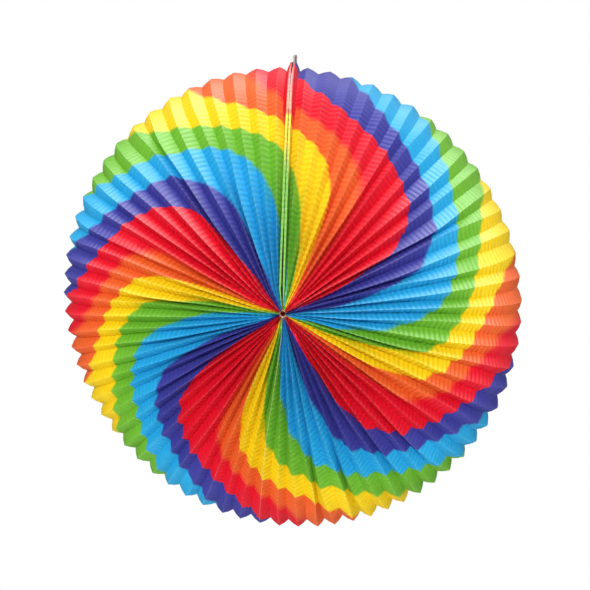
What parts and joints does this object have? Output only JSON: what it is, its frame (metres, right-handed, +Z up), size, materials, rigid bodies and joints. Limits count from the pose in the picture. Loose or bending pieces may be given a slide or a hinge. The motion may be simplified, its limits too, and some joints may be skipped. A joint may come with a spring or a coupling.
{
  "type": "round paper lantern",
  "caption": "Round pleated paper lantern with a rainbow swirl, gathered at both poles and closed at the top by two board cards, one with a tab for hanging.",
  "frame": {"origin": "centre of the hole in the tab at the top, in the middle of the board", "axes": "+X to the right along the hole's axis, +Y from the front pole to the rear pole, +Z up"},
  "size_m": [0.2491, 0.1316, 0.2576],
  "materials": {
    "crimped_paper": "printed crimped paper, soft sheen",
    "grey_board": "uncoated grey board",
    "thread": "twisted cotton thread",
    "staple_wire": "dull wire"
  },
  "bodies": {
    "root": {"pleated_sheet_left": "crimped_paper", "pleated_sheet_right": "crimped_paper", "end_card_left": "grey_board", "end_card_right": "grey_board", "tab_staple": "staple_wire", "hub_thread_front": "thread", "hub_thread_rear": "thread"}
  },
  "joints": []
}
